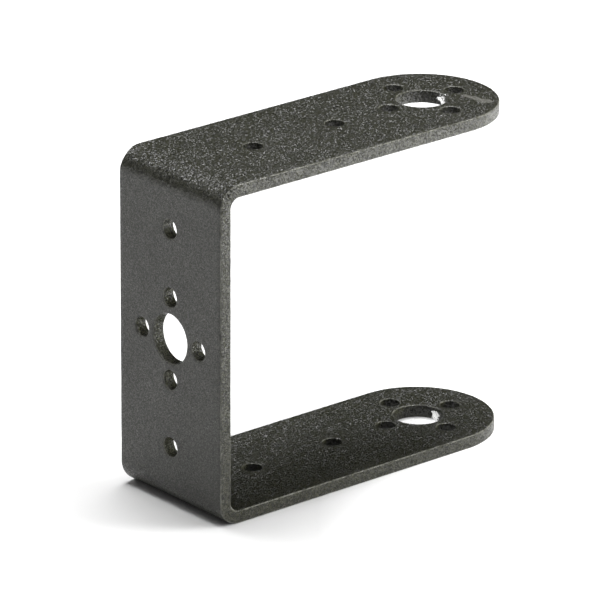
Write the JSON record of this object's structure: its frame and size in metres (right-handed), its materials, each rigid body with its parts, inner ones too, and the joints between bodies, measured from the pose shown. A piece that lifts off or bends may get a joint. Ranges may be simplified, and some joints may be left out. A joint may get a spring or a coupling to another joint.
{
  "type": "servo bracket",
  "caption": "Long U-shaped sheet metal bracket with round-ended arms, bored and drilled on every face for servo horns and screws, from a pan and tilt mount.",
  "frame": {"origin": "centre of the web's big hole, on the web's outer face", "axes": "+X along the arms from the web to their tips, +Y across the strip, +Z from the lower arm to the upper arm; the bracket lies on its lower arm"},
  "size_m": [0.0652, 0.0252, 0.0572],
  "materials": {
    "powder_coat": "black fine-textured powder coat on aluminium sheet, semi-matt"
  },
  "bodies": {
    "root": {"u_bracket": "powder_coat"}
  },
  "joints": []
}
